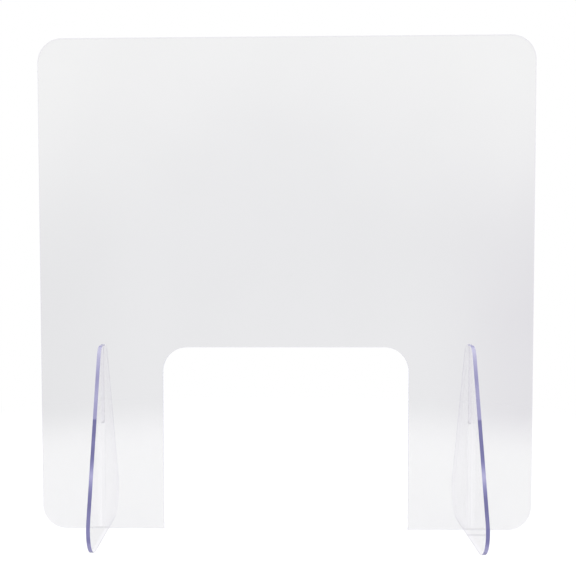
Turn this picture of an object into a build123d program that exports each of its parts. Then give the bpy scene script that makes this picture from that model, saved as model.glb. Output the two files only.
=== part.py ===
from build123d import *
import os

# A free-standing desk privacy panel of clear sheet: one upright panel with a pass-through cut-out,
# held by two feet that stand across it. Each foot crosses the panel in a pair of half-depth slots,
# so the panel drops down onto the feet, and lifts straight up off them, without any fastener.
#
# Frame, in millimetres: +X to the right along the panel, +Y away from the person it is turned to,
# +Z up. The origin is on the desk, at the middle of the panel's width and of its thickness.

INCH = 25.4

# Sheet stock, the same for all three pieces
sheet_thickness = 3 / 16 * INCH
edge_round = 0.4                   # polished edge between a face and the outline
slot_clearance = 0.15              # on each side of a sheet that stands in a slot

# Panel
panel_width = 24 * INCH
panel_height = 24 * INCH
panel_corner_radius = 30.0
desk_gap = 7.0                     # from the desk to the panel's bottom edge
cutout_width = 12 * INCH
cutout_height = 9 * INCH           # from the panel's bottom edge
cutout_corner_radius = 30.0

# Feet
foot_height = 9.375 * INCH
foot_base = 236.5                  # where the two sloping edges would meet the desk
foot_crown = 39.0                  # distance between the sloping edges at the foot's full height
foot_toe_radius = 33.0
foot_crown_radius = 18.0
foot_spacing = 18 * INCH           # from the middle of one foot's thickness to the other's

# The cross-halved joint
seat_height = 140.0                # from the desk to where the panel rests on the foot

slot_width = sheet_thickness + 2 * slot_clearance


def sheet(outline):
    """A flat piece of the stock, centred on its outline's plane, with polished outline edges."""
    blank = extrude(outline, amount=sheet_thickness / 2, both=True)
    faces = blank.faces().sort_by(SortBy.AREA)[-2:]
    return fillet(faces.edges(), edge_round)


def panel_outline():
    """The panel seen from the front, on the XZ plane, with its cut-out open at the bottom."""
    middle = desk_gap + panel_height / 2
    outer = Pos(0, middle) * RectangleRounded(panel_width, panel_height, panel_corner_radius)
    cutout_top = desk_gap + cutout_height
    cutout = Pos(0, cutout_top / 2) * Rectangle(cutout_width, cutout_top)
    upper_corners = cutout.vertices().group_by(Axis.Y)[-1]
    return Plane.XZ * (outer - fillet(upper_corners, cutout_corner_radius))


def foot_outline():
    """A foot seen from the side, on the YZ plane: a tall fin with rounded toes and crown."""
    toes = ((foot_base / 2, 0), (-foot_base / 2, 0))
    crown = ((-foot_crown / 2, foot_height), (foot_crown / 2, foot_height))
    fin = make_face(Polyline(*toes, *crown, close=True))
    fin = fillet(fin.vertices().group_by(Axis.Y)[0], foot_toe_radius)
    fin = fillet(fin.vertices().group_by(Axis.Y)[-1], foot_crown_radius)
    return Plane.YZ * fin


def panel_slot(x):
    """The space in the panel, open at its bottom edge, that the lower half of a foot fills."""
    return Pos(x, 0, seat_height / 2) * Box(slot_width, 2 * sheet_thickness, seat_height)


def foot_slot():
    """The space in a foot, open at its top, that the panel fills."""
    depth = foot_height - seat_height
    return Pos(0, 0, seat_height + depth / 2) * Box(2 * sheet_thickness, slot_width, depth)


def panel():
    slots = [panel_slot(side * foot_spacing / 2) for side in (-1, 1)]
    return sheet(panel_outline()) - slots


def foot(side):
    """One foot, at the left of the panel (side -1) or at its right (side 1)."""
    return Pos(side * foot_spacing / 2, 0, 0) * (sheet(foot_outline()) - foot_slot())


os.makedirs("parts", exist_ok=True)
export_step(panel(), "parts/panel.step")
export_step(foot(-1), "parts/left_foot.step")
export_step(foot(1), "parts/right_foot.step")
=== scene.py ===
import math

import bpy
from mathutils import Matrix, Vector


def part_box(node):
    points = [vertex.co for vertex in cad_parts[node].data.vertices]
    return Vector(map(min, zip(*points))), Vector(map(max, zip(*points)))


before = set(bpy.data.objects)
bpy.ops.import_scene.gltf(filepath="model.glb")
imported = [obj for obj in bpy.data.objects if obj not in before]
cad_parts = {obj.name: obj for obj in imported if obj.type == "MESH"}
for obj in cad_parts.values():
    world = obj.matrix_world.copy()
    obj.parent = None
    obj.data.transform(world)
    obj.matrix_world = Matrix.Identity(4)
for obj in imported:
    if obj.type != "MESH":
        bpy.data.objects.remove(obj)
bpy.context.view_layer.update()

# A clear desk privacy panel: one upright sheet and two feet cut from the same stock. The CAD nodes
# keep their shapes. Their materials show the sheet's clear faces, which mirror a little of the room,
# and its polished edges, whose colour is painted light: the violet of light that has run through the sheet
# and comes out there.
# Lengths are in metres and angles in degrees.

PANEL, FEET = "panel", ("left_foot", "right_foot")
panel_low, panel_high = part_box(PANEL)
foot_low, foot_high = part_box(FEET[1])
THICKNESS = panel_high.y - panel_low.y
WHITE = (1.0, 1.0, 1.0)

# The stock, as light meets it
REFRACTION = 1.585
ABSORPTION = (7.0, 7.2, 4.1)             # per metre of sheet: red, green, blue
PANEL_CLARITY = (0.905, 0.905, 0.914)    # what one face of the panel lets through
FOOT_CLARITY = (0.992, 0.99, 0.996)      # the same for a foot seen at a flat angle
PANEL_END_CLARITY = (0.90, 0.89, 0.915)  # an edge of the panel met from inside the sheet
FOOT_END_CLARITY = (0.68, 0.66, 0.73)    # the same for a foot, where a bent sight line meets one
FOOT_SIDE_CLARITY = (0.87, 0.86, 0.90)   # the same at the leaning side
CROWN_END_CLARITY = (0.35, 0.30, 0.50)   # the same at the mouth of the slot
FOOT_INNER_CLARITY = (0.97, 0.965, 0.98)  # an edge of a foot met from inside the sheet
SLOT_CLARITY = (0.99, 0.985, 0.995)      # a slot wall that the other sheet fills
SLOT_SEEN = (0.845, 0.845, 0.855)        # the panel in its own slot, as seen through a foot
FOOT_GLOSS = 0.4                         # the share of its mirrored light a foot keeps at a flat angle
FOOT_FLAT = (0.38, 0.74)                 # seen flatter, a foot turns from the panel's look into its own
# The panel's contact shadow on the desk, painted as a darker line on the right foot's faces
DESK_SHADOW_LINE = (0.0020, 0.0003)             # half the shadow line's width, and of its darkest part
DESK_SHADOW_CLARITY = (0.87, 0.86, 0.88)
SLOT_GAP = 0.002                         # a slot wall with the other sheet this near looks clear
SLOT_FILLED = (0.6, 0.3)                 # the open share of its directions: empty slot, filled slot
SLOT_MARGIN = 0.001                      # a slot starts this far inside its open end, and takes in its floor
EDGE_TURNED = (0.9, 0.6)                 # how far the normal points across the sheet: on a face, on an edge
FACE_ROUGHNESS, INNER_ROUGHNESS, EDGE_ROUGHNESS = 0.02, 0.1, 0.22
EDGE_POLISH, CROWN_POLISH = 0.5, 0.1     # how much an edge mirrors, and the crown's where it faces up
SHADE = (0.985, 0.985, 0.99)             # what a face lets through of the light on the floor

# Painted edge light: how far light has run through the panel before it comes out of an edge
PANEL_EDGE_RUN = (0.02, 0.2)             # seen flat, and seen square on
PANEL_EDGE_FACING = (0.85, 0.5)          # the layer weight's facing values that go with them

# Painted edge light: how far it has run through a foot before it comes out of the front or rear edge
RUN_BESIDE_SLOT = (0.245, 0.197, 0.10, 0.192)  # from the upper height down to the lower: first, last run
RUN_BELOW_SEAT = 0.324
SEAT_BEND = 0.0148                       # how far above the seat the change is seen
SEAT_SOFTNESS = 0.002                    # half the height over which it happens
CROWN_RUN = 0.06                         # added where the crown faces up, painting the top of the edge darker
CROWN_UP = (0.9, 0.98)                   # the rise of its normal where that starts, and where it is full
CROWN_DULL = (0.8, 0.97)                 # the same for the crown's polish
BESIDE_SLOT_TINT = (1.0, 1.0, 0.965)     # its violet is duller there than below
CROWN_MOUTH = (0.013, 0.005)             # this far below the crown its end starts to darken the slot
LIT_BAND = (0.093, 0.023, 0.150)         # a lighter stretch of the painted light: its height, half its reach, run taken off
LIT_BELOW = (0.063, 0.033, 0.06)         # light from the desk: from, fully at, run taken off
LIT_TOE = (0.025, 0.012, 0.085)          # the same on the curved toe

# What handling and polishing leave on it
SHEET_WAVE = (9.0, 0.00035)              # the faces are not quite flat: waves per metre and their depth
CLOUD = (7.0, 0.994)                     # a faint cloud on the faces: per metre, least clarity
CLOUD_DETAIL = 4.0
CLOUD_SPREAD = (0.35, 0.7)               # the noise values where it starts, and where it is full
SPECK_CELLS = 38.0                       # dust: cells per metre, most of them empty
SPECK_SHARE, SPECK_RADIUS = 0.3, 0.0008
SPECK_CLARITY = (0.90, 0.90, 0.90)
POLISH_MARKS = (420.0, 0.00002)          # across the edges: marks per metre and their depth
EDGE_DRIFT = (26.0, 0.10)                # the violet drifts along an edge: per metre, share of the run
EDGE_DRIFT_SPREAD = (0.3, 0.7)           # the noise values at the shortest and the longest run

# The studio
FLOOR_LEVEL, FLOOR_REACH = -0.0002, 6.0  # a hair under the feet, and how far out it goes
UNDER_PANEL = (0.025, 0.030)             # sight lines that pass below the panel meet the floor up to here
SOFT_LIGHT = 1.285                       # light that falls on the floor and the edges
FLOOR_ALBEDO = 0.86
FLOOR_SHOWN = (0.57, 1.06)               # the floor turns into plain white between these distances
SHEEN_REACH = (0.34, 0.86)               # the mirrored floor is bright up to the first distance
SHEEN = (1.15, 1.15, 1.08)
SHEEN_FRONT = (0.0, -0.3)                # mirrored lines that run to the front show it: from, fully at
SHEEN_ASIDE = (0.35, 0.6, 1.0, 0.6)      # farther to the side it weakens from the one share to the other
OPEN_SIDE = (0.40, 0.62)                 # behind the panel the room is bright as far to the side as this
OPEN_LIGHT = (1.03, 1.03, 1.03)
OPEN_NEAR = (1.06, 1.06, 1.06)           # the same way, the floor behind the panel, up to OPEN_REACH
OPEN_REACH = (0.6, 1.2)
OPEN_FLOOR = (0.42, 0.42, 0.42)          # and the floor in front of it
ROOM_HIGH = (1.75, 1.75, 1.62)
ROOM_MIDDLE = (0.87, 0.87, 0.87)
ROOM_LEFT = (0.50, 0.50, 0.50)
ROOM_RIGHT = (0.22, 0.12, 0.30)
ROOM_LEFT_END = (-0.27, -0.12)           # to the side, the left of the room turns into its middle here
ROOM_RIGHT_START = (0.14, 0.29)          # and its middle into its right
ROOM_RISE = (-0.09, 0.2)                 # upward, its low part turns into its high part between these
OPEN_BACK = (-0.2, 0.1)                  # from front to back, the room turns into the open side here
ARCH_DROP = 0.09                         # in the middle the low part reaches this much higher
ARCH_SQUARE, ARCH_LIMIT = 0.058, 0.06    # sideways, squared: no higher at the first, level past the next

# The camera: in front, a little above the panel's middle, looking slightly down
CAMERA_PLACE = (-0.0165, -1.151, 0.3656)
CAMERA_TILT, CAMERA_ROLL, CAMERA_TURN = -2.8065, 0.16, 1.502
CAMERA_LENS, CAMERA_SHIFT = 58.109, 0.0702


class Tree:
    """Adds nodes to a shader tree, so that a formula reads as one line per step."""

    def __init__(self, owner):
        owner.use_nodes = True
        self.tree = owner.node_tree
        self.tree.nodes.clear()

    def add(self, kind, **values):
        node = self.tree.nodes.new(kind)
        for name, value in values.items():
            setattr(node, name, value)
        return node

    def put(self, socket, value):
        """Links value to the socket if it is an output, and sets it otherwise."""
        if isinstance(value, bpy.types.NodeSocket):
            self.tree.links.new(value, socket)
        elif isinstance(value, tuple) and len(socket.default_value) == 4:
            socket.default_value = (*value, 1.0)
        else:
            socket.default_value = value

    def math(self, operation, *values):
        node = self.add("ShaderNodeMath", operation=operation)
        for socket, value in zip(node.inputs, values):
            self.put(socket, value)
        return node.outputs[0]

    def total(self, *values):
        result = values[0]
        for value in values[1:]:
            result = self.math("ADD", result, value)
        return result

    def product(self, *values):
        result = values[0]
        for value in values[1:]:
            result = self.math("MULTIPLY", result, value)
        return result

    def ramp(self, value, start, end, low=0.0, high=1.0):
        """low up to start, high from end on, and a smooth rise or fall between."""
        node = self.add("ShaderNodeMapRange", interpolation_type="SMOOTHSTEP")
        names = ("Value", "From Min", "From Max", "To Min", "To Max")
        for name, v in zip(names, (value, start, end, low, high)):
            self.put(node.inputs[name], v)
        return node.outputs[0]

    def colour(self, share, first, second):
        node = self.add("ShaderNodeMix", data_type="RGBA")
        self.put(node.inputs[0], share)
        self.put(node.inputs[6], first)
        self.put(node.inputs[7], second)
        return node.outputs[2]

    def multiply(self, first, second):
        node = self.add("ShaderNodeVectorMath", operation="MULTIPLY")
        self.put(node.inputs[0], first)
        self.put(node.inputs[1], second)
        return node.outputs[0]

    def shader(self, share, first, second):
        node = self.add("ShaderNodeMixShader")
        self.put(node.inputs[0], share)
        self.put(node.inputs[1], first)
        self.put(node.inputs[2], second)
        return node.outputs[0]

    def parts(self, vector):
        node = self.add("ShaderNodeSeparateXYZ")
        self.put(node.inputs[0], vector)
        return node.outputs

    def place(self):
        return self.parts(self.add("ShaderNodeTexCoord").outputs["Object"])

    def finish(self, kind, surface):
        self.put(self.add(kind).inputs["Surface"], surface)


def cloudy(t, clarity):
    """The clarity of a face with a faint cloud and a few specks of dust."""
    place = t.add("ShaderNodeTexCoord").outputs["Object"]
    cloud = t.add("ShaderNodeTexNoise")
    t.put(cloud.inputs["Vector"], place)
    t.put(cloud.inputs["Scale"], CLOUD[0])
    t.put(cloud.inputs["Detail"], CLOUD_DETAIL)
    dust = t.add("ShaderNodeTexVoronoi")
    t.put(dust.inputs["Vector"], place)
    t.put(dust.inputs["Scale"], SPECK_CELLS)
    chosen = t.math("LESS_THAN", t.parts(dust.outputs["Color"])["X"], SPECK_SHARE)
    speck = t.product(chosen, t.math("LESS_THAN", dust.outputs["Distance"], SPECK_RADIUS * SPECK_CELLS))
    clouded = t.colour(t.ramp(cloud.outputs[0], *CLOUD_SPREAD), WHITE, (CLOUD[1],) * 3)
    return t.multiply(clarity, t.multiply(clouded, t.colour(speck, WHITE, SPECK_CLARITY)))


def waved(t, waves, depth):
    """The normal of a surface that waves by depth, with so many waves per metre."""
    noise = t.add("ShaderNodeTexNoise")
    t.put(noise.inputs["Vector"], t.add("ShaderNodeTexCoord").outputs["Object"])
    t.put(noise.inputs["Scale"], waves)
    t.put(noise.inputs["Detail"], 0.0)
    bump = t.add("ShaderNodeBump")
    t.put(bump.inputs["Height"], noise.outputs[0])
    t.put(bump.inputs["Distance"], depth)
    return bump.outputs[0]


def through_part(t, clarity):
    through = t.add("ShaderNodeBsdfTransparent")
    t.put(through.inputs["Color"], clarity)
    return through.outputs[0]


def clear_part(t, clarity, mirrored, roughness, normal=None):
    """Light straight through, dimmed by clarity, and a mirrored share."""
    gloss = t.add("ShaderNodeBsdfAnisotropic")
    t.put(gloss.inputs["Roughness"], roughness)
    t.put(gloss.inputs["Color"], WHITE)
    if normal:
        t.put(gloss.inputs["Normal"], normal)
    return t.shader(mirrored, through_part(t, clarity), gloss.outputs[0])


def light_after(t, run):
    """The colour of white light after a run through the sheet, drifting a little from place to place."""
    noise = t.add("ShaderNodeTexNoise")
    t.put(noise.inputs["Vector"], t.add("ShaderNodeTexCoord").outputs["Object"])
    t.put(noise.inputs["Scale"], EDGE_DRIFT[0])
    drift = t.ramp(noise.outputs[0], *EDGE_DRIFT_SPREAD, 1 - EDGE_DRIFT[1], 1 + EDGE_DRIFT[1])
    run = t.product(run, drift)
    joined = t.add("ShaderNodeCombineXYZ")
    for socket, rate in zip(joined.inputs, ABSORPTION):
        t.put(socket, t.math("EXPONENT", t.math("MULTIPLY", run, -rate)))
    return joined.outputs[0]


def edge_part(t, colour, polish):
    """A polished edge met from outside: a base colour of painted light, violet from the sheet behind it,
    under a gloss.
    """
    body = t.add("ShaderNodeBsdfPrincipled")
    t.put(body.inputs["Base Color"], colour)
    t.put(body.inputs["Normal"], waved(t, *POLISH_MARKS))
    t.put(body.inputs["Roughness"], EDGE_ROUGHNESS)
    t.put(body.inputs["IOR"], REFRACTION)
    t.put(body.inputs["Specular IOR Level"], polish)
    return body.outputs[0]


class Sheet:
    """The tree of one sheet's material, with what all of its parts read."""

    def __init__(self, name, across):
        self.material = bpy.data.materials.new(name)
        self.t = t = Tree(self.material)
        self.geometry = t.add("ShaderNodeNewGeometry")
        self.place = t.place()
        self.normal = t.parts(self.geometry.outputs["Normal"])
        self.inside = self.geometry.outputs["Backfacing"]
        self.is_edge = t.ramp(t.math("ABSOLUTE", self.normal[across]), *EDGE_TURNED)
        fresnel = t.add("ShaderNodeFresnel")
        t.put(fresnel.inputs["IOR"], t.ramp(self.inside, 0.0, 1.0, REFRACTION, 1 / REFRACTION))
        self.mirrored = fresnel.outputs[0]

    def join(self, face, outer, inner, slot, in_slot):
        """in_slot marks the slot walls, which look clear as long as the other sheet fills the slot."""
        t = self.t
        open_gap = t.add("ShaderNodeAmbientOcclusion", samples=4)
        t.put(open_gap.inputs["Distance"], SLOT_GAP)
        filled = t.ramp(open_gap.outputs["AO"], *SLOT_FILLED)
        edge = t.shader(self.inside, outer, inner)
        edge = t.shader(t.product(in_slot, filled), edge, slot)
        path = t.add("ShaderNodeLightPath")
        falling = t.math("MAXIMUM", path.outputs["Is Diffuse Ray"], path.outputs["Is Shadow Ray"])
        surface = t.shader(falling, t.shader(self.is_edge, face, edge), through_part(t, SHADE))
        t.finish("ShaderNodeOutputMaterial", surface)
        return self.material


def seat_height():
    """Where the floor of a foot's slot is, from the foot's own vertices."""
    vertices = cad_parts[FEET[0]].data.vertices
    return min(v.co.z for v in vertices if abs(v.co.y) < THICKNESS and v.co.z > 2 * THICKNESS)


def outline_slope():
    """How much a foot's half depth shrinks for each metre up, and what it would be on the desk."""
    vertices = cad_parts[FEET[0]].data.vertices
    outline = sorted((v.co.z, v.co.y) for v in vertices if v.co.y > 2 * THICKNESS)
    # Its straight side has no vertices between its ends, so it is the widest gap in height.
    (z0, y0), (z1, y1) = max(zip(outline, outline[1:]), key=lambda ends: ends[1][0] - ends[0][0])
    slope = (y0 - y1) / (z1 - z0)
    return slope, y0 + slope * z0


seat = seat_height()
foot_slope, foot_half = outline_slope()


def panel_material():
    sheet = Sheet("clear_panel_sheet", "Y")
    t = sheet.t
    foot_x = (foot_low.x + foot_high.x) / 2
    facing = t.add("ShaderNodeLayerWeight")
    square_on = t.ramp(facing.outputs["Facing"], *PANEL_EDGE_FACING)
    outer = edge_part(t, light_after(t, t.ramp(square_on, 0.0, 1.0, *PANEL_EDGE_RUN)), EDGE_POLISH)
    inner = clear_part(t, PANEL_END_CLARITY, sheet.mirrored, INNER_ROUGHNESS)
    slot = clear_part(t, SLOT_CLARITY, 0.0, INNER_ROUGHNESS)
    face = clear_part(t, cloudy(t, PANEL_CLARITY), sheet.mirrored, FACE_ROUGHNESS, waved(t, *SHEET_WAVE))
    from_foot = t.math("ABSOLUTE", t.math("SUBTRACT", t.math("ABSOLUTE", sheet.place["X"]), foot_x))
    in_slot = t.product(t.math("LESS_THAN", from_foot, THICKNESS),
                        t.math("GREATER_THAN", sheet.place["Z"], panel_low.z + SLOT_MARGIN),
                        t.math("LESS_THAN", sheet.place["Z"], panel_high.z / 2))
    return sheet.join(face, outer, inner, slot, in_slot)


def foot_violet(t, sheet):
    """The painted light of a foot's edge: its colour after the run light has made through the foot behind
    it.
    """
    height = sheet.place["Z"]
    beside_slot = t.total(t.ramp(height, *RUN_BESIDE_SLOT),
                          t.ramp(sheet.normal["Z"], *CROWN_UP, 0.0, CROWN_RUN))
    middle, reach, band_taken = LIT_BAND
    band = t.ramp(t.math("ABSOLUTE", t.math("SUBTRACT", height, middle)), reach, 0.0, 0.0, -band_taken)
    lit = [t.ramp(height, start, end, 0.0, -taken) for start, end, taken in (LIT_BELOW, LIT_TOE)]
    below = t.total(band, *lit, RUN_BELOW_SEAT)
    change = seat + SEAT_BEND
    above = t.ramp(height, change - SEAT_SOFTNESS, change + SEAT_SOFTNESS)
    violet = light_after(t, t.ramp(above, 0.0, 1.0, below, beside_slot))
    return t.multiply(violet, t.colour(above, WHITE, BESIDE_SLOT_TINT))


def end_clarity(t, sheet, clear):
    """What is left of a sight line that enters a foot's face and is bent so that it meets an edge."""
    toward = t.parts(sheet.geometry.outputs["Incoming"])
    sideways = t.total(t.product(toward["Y"], toward["Y"]), t.product(toward["Z"], toward["Z"]))
    bent = t.math("SQRT", t.math("SUBTRACT", REFRACTION ** 2, sideways))
    step = t.math("DIVIDE", -THICKNESS, bent)
    exit_y = t.math("ADD", sheet.place["Y"], t.product(toward["Y"], step))
    exit_z = t.math("ADD", sheet.place["Z"], t.product(toward["Z"], step))
    outline = t.math("ADD", t.math("ABSOLUTE", exit_y), t.product(exit_z, foot_slope))
    past_side = t.math("GREATER_THAN", outline, foot_half)
    past_base = t.math("LESS_THAN", exit_z, 0.0)
    crossed = t.product(t.math("GREATER_THAN", exit_z, seat),
                        t.math("LESS_THAN", t.product(exit_y, sheet.place["Y"]), 0.0))
    met = t.math("MINIMUM", t.total(past_side, past_base, crossed), 1.0)
    mouth = t.ramp(exit_z, foot_high.z - CROWN_MOUTH[0], foot_high.z - CROWN_MOUTH[1])
    end = t.colour(past_side, FOOT_END_CLARITY, FOOT_SIDE_CLARITY)
    end = t.colour(t.product(mouth, crossed), end, CROWN_END_CLARITY)
    return t.colour(met, clear, end)


def behind_panel(t, sheet, flat):
    """What is left of a sight line that passes the panel's plane inside a foot, where the panel has
    its own slot. Through the right foot a thin painted shadow also shows where that plane meets the desk."""
    toward = t.parts(sheet.geometry.outputs["Incoming"])
    step = t.math("DIVIDE", -THICKNESS, t.math("ABSOLUTE", toward["X"]))
    exit_y = t.math("ADD", sheet.place["Y"], t.product(toward["Y"], step))
    exit_z = t.math("ADD", sheet.place["Z"], t.product(toward["Z"], step))
    rise = t.math("DIVIDE", toward["Z"], toward["Y"])
    height = t.math("SUBTRACT", sheet.place["Z"], t.product(sheet.place["Y"], rise))
    passed = t.product(t.math("LESS_THAN", t.product(exit_y, sheet.place["Y"]), 0.0),
                       t.math("LESS_THAN", exit_z, seat),
                       t.math("GREATER_THAN", height, panel_low.z), flat)
    # painted contact shadow: a darker line on the right foot's faces where the panel's plane meets the desk
    line = t.product(t.ramp(t.math("ABSOLUTE", height), *DESK_SHADOW_LINE), flat,
                     t.math("GREATER_THAN", sheet.place["X"], 0.0),
                     t.math("LESS_THAN", sheet.place["Y"], 0.0))
    return t.colour(line, t.colour(passed, WHITE, SLOT_SEEN), DESK_SHADOW_CLARITY)


def foot_material():
    sheet = Sheet("clear_foot_sheet", "X")
    t = sheet.t
    polish = t.ramp(sheet.normal["Z"], *CROWN_DULL, EDGE_POLISH, CROWN_POLISH)
    outer = edge_part(t, foot_violet(t, sheet), polish)
    inner = clear_part(t, FOOT_INNER_CLARITY, 0.0, INNER_ROUGHNESS)
    slot = clear_part(t, SLOT_CLARITY, 0.0, INNER_ROUGHNESS)
    flat = t.ramp(t.add("ShaderNodeLayerWeight").outputs["Facing"], *FOOT_FLAT)
    clear = t.colour(flat, PANEL_CLARITY, FOOT_CLARITY)
    entered = t.multiply(end_clarity(t, sheet, clear), behind_panel(t, sheet, flat))
    clarity = cloudy(t, t.colour(sheet.inside, entered, clear))
    mirrored = t.product(sheet.mirrored, t.ramp(flat, 0.0, 1.0, 1.0, FOOT_GLOSS))
    face = clear_part(t, clarity, mirrored, FACE_ROUGHNESS, waved(t, *SHEET_WAVE))
    in_slot = t.product(t.math("LESS_THAN", t.math("ABSOLUTE", sheet.place["Y"]), THICKNESS),
                        t.math("GREATER_THAN", sheet.place["Z"], seat - SLOT_MARGIN),
                        t.math("LESS_THAN", sheet.place["Z"], foot_high.z - SLOT_MARGIN))
    return sheet.join(face, outer, inner, slot, in_slot)


def dress(node, material):
    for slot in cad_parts[node].material_slots:
        slot.material = material


def room_light(t, toward, behind):
    """What the sheet mirrors from a direction: a dim room in front, bright overhead, bright behind."""
    side, rise = toward["X"], toward["Z"]
    arch = t.product(t.math("MINIMUM", t.product(side, side), ARCH_LIMIT), ARCH_DROP / ARCH_SQUARE)
    lifted = t.total(rise, arch, -ARCH_DROP)
    low = t.colour(t.ramp(side, *ROOM_LEFT_END), ROOM_LEFT, ROOM_MIDDLE)
    low = t.colour(t.ramp(side, *ROOM_RIGHT_START), low, ROOM_RIGHT)
    room = t.colour(t.ramp(lifted, *ROOM_RISE), low, ROOM_HIGH)
    opened = t.product(t.ramp(toward["Y"], *OPEN_BACK),
                       t.ramp(t.math("ABSOLUTE", side), OPEN_SIDE[1], OPEN_SIDE[0]))
    return t.colour(opened, room, behind)


def studio_floor():
    """A pale floor that turns into plain white farther out, with a bright sheen in front as mirrored."""
    mesh = bpy.data.meshes.new("studio_floor")
    around = ((-1, -1), (1, -1), (1, 1), (-1, 1))
    corners = [(x * FLOOR_REACH, y * FLOOR_REACH, FLOOR_LEVEL) for x, y in around]
    mesh.from_pydata(corners, [], [(0, 1, 2, 3)])
    floor = bpy.data.objects.new("studio_floor", mesh)
    bpy.context.scene.collection.objects.link(floor)
    material = bpy.data.materials.new("studio_floor")
    t = Tree(material)
    place = t.place()
    path = t.add("ShaderNodeLightPath")
    squared = t.total(t.product(place["X"], place["X"]), t.product(place["Y"], place["Y"]))
    distance = t.math("SQRT", squared)
    pale = t.add("ShaderNodeBsdfDiffuse")
    t.put(pale.inputs["Color"], (FLOOR_ALBEDO,) * 3)
    white = t.add("ShaderNodeEmission")
    t.put(white.inputs["Color"], WHITE)
    seen = t.shader(t.ramp(distance, *FLOOR_SHOWN), pale.outputs[0], white.outputs[0])
    back = t.add("ShaderNodeVectorMath", operation="SCALE")
    t.put(back.inputs[0], t.add("ShaderNodeNewGeometry").outputs["Incoming"])
    t.put(back.inputs["Scale"], -1.0)
    toward = t.parts(back.outputs[0])
    sideways = t.math("ABSOLUTE", toward["X"])
    sheen = t.product(t.ramp(t.math("ABSOLUTE", place["Y"]), SHEEN_REACH[1], SHEEN_REACH[0]),
                      t.math("MAXIMUM", t.ramp(toward["Y"], *SHEEN_FRONT), t.ramp(sideways, *OPEN_SIDE)),
                      t.ramp(sideways, *SHEEN_ASIDE))
    mirrored = t.add("ShaderNodeEmission")
    near = t.colour(t.ramp(place["Y"], *OPEN_REACH), OPEN_NEAR, OPEN_LIGHT)
    behind = t.colour(t.ramp(place["Y"], *UNDER_PANEL), OPEN_FLOOR, near)
    t.put(mirrored.inputs["Color"], t.colour(sheen, room_light(t, toward, behind), SHEEN))
    surface = t.shader(path.outputs["Is Glossy Ray"], seen, mirrored.outputs[0])
    t.finish("ShaderNodeOutputMaterial", surface)
    mesh.materials.append(material)


def studio_world():
    """White all round as seen directly, soft light on the floor, and the room as the sheet mirrors it."""
    world = bpy.data.worlds.new("studio")
    bpy.context.scene.world = world
    t = Tree(world)
    path = t.add("ShaderNodeLightPath")
    toward = t.parts(t.add("ShaderNodeTexCoord").outputs["Generated"])
    direct = t.colour(path.outputs["Is Camera Ray"], (SOFT_LIGHT,) * 3, WHITE)
    mirrored = room_light(t, toward, OPEN_LIGHT)
    light = t.add("ShaderNodeBackground")
    t.put(light.inputs["Color"], t.colour(path.outputs["Is Glossy Ray"], direct, mirrored))
    t.put(light.inputs["Strength"], 1.0)
    t.finish("ShaderNodeOutputWorld", light.outputs[0])


def studio_camera():
    data = bpy.data.cameras.new("camera")
    data.lens = CAMERA_LENS
    data.shift_x = CAMERA_SHIFT
    camera = bpy.data.objects.new("camera", data)
    camera.location = CAMERA_PLACE
    camera.rotation_euler = [math.radians(a) for a in (90 + CAMERA_TILT, CAMERA_ROLL, CAMERA_TURN)]
    bpy.context.scene.collection.objects.link(camera)
    bpy.context.scene.camera = camera


dress(PANEL, panel_material())
feet_sheet = foot_material()
for foot in FEET:
    dress(foot, feet_sheet)
studio_floor()
studio_world()
studio_camera()
bpy.context.scene.view_settings.view_transform = "Standard"
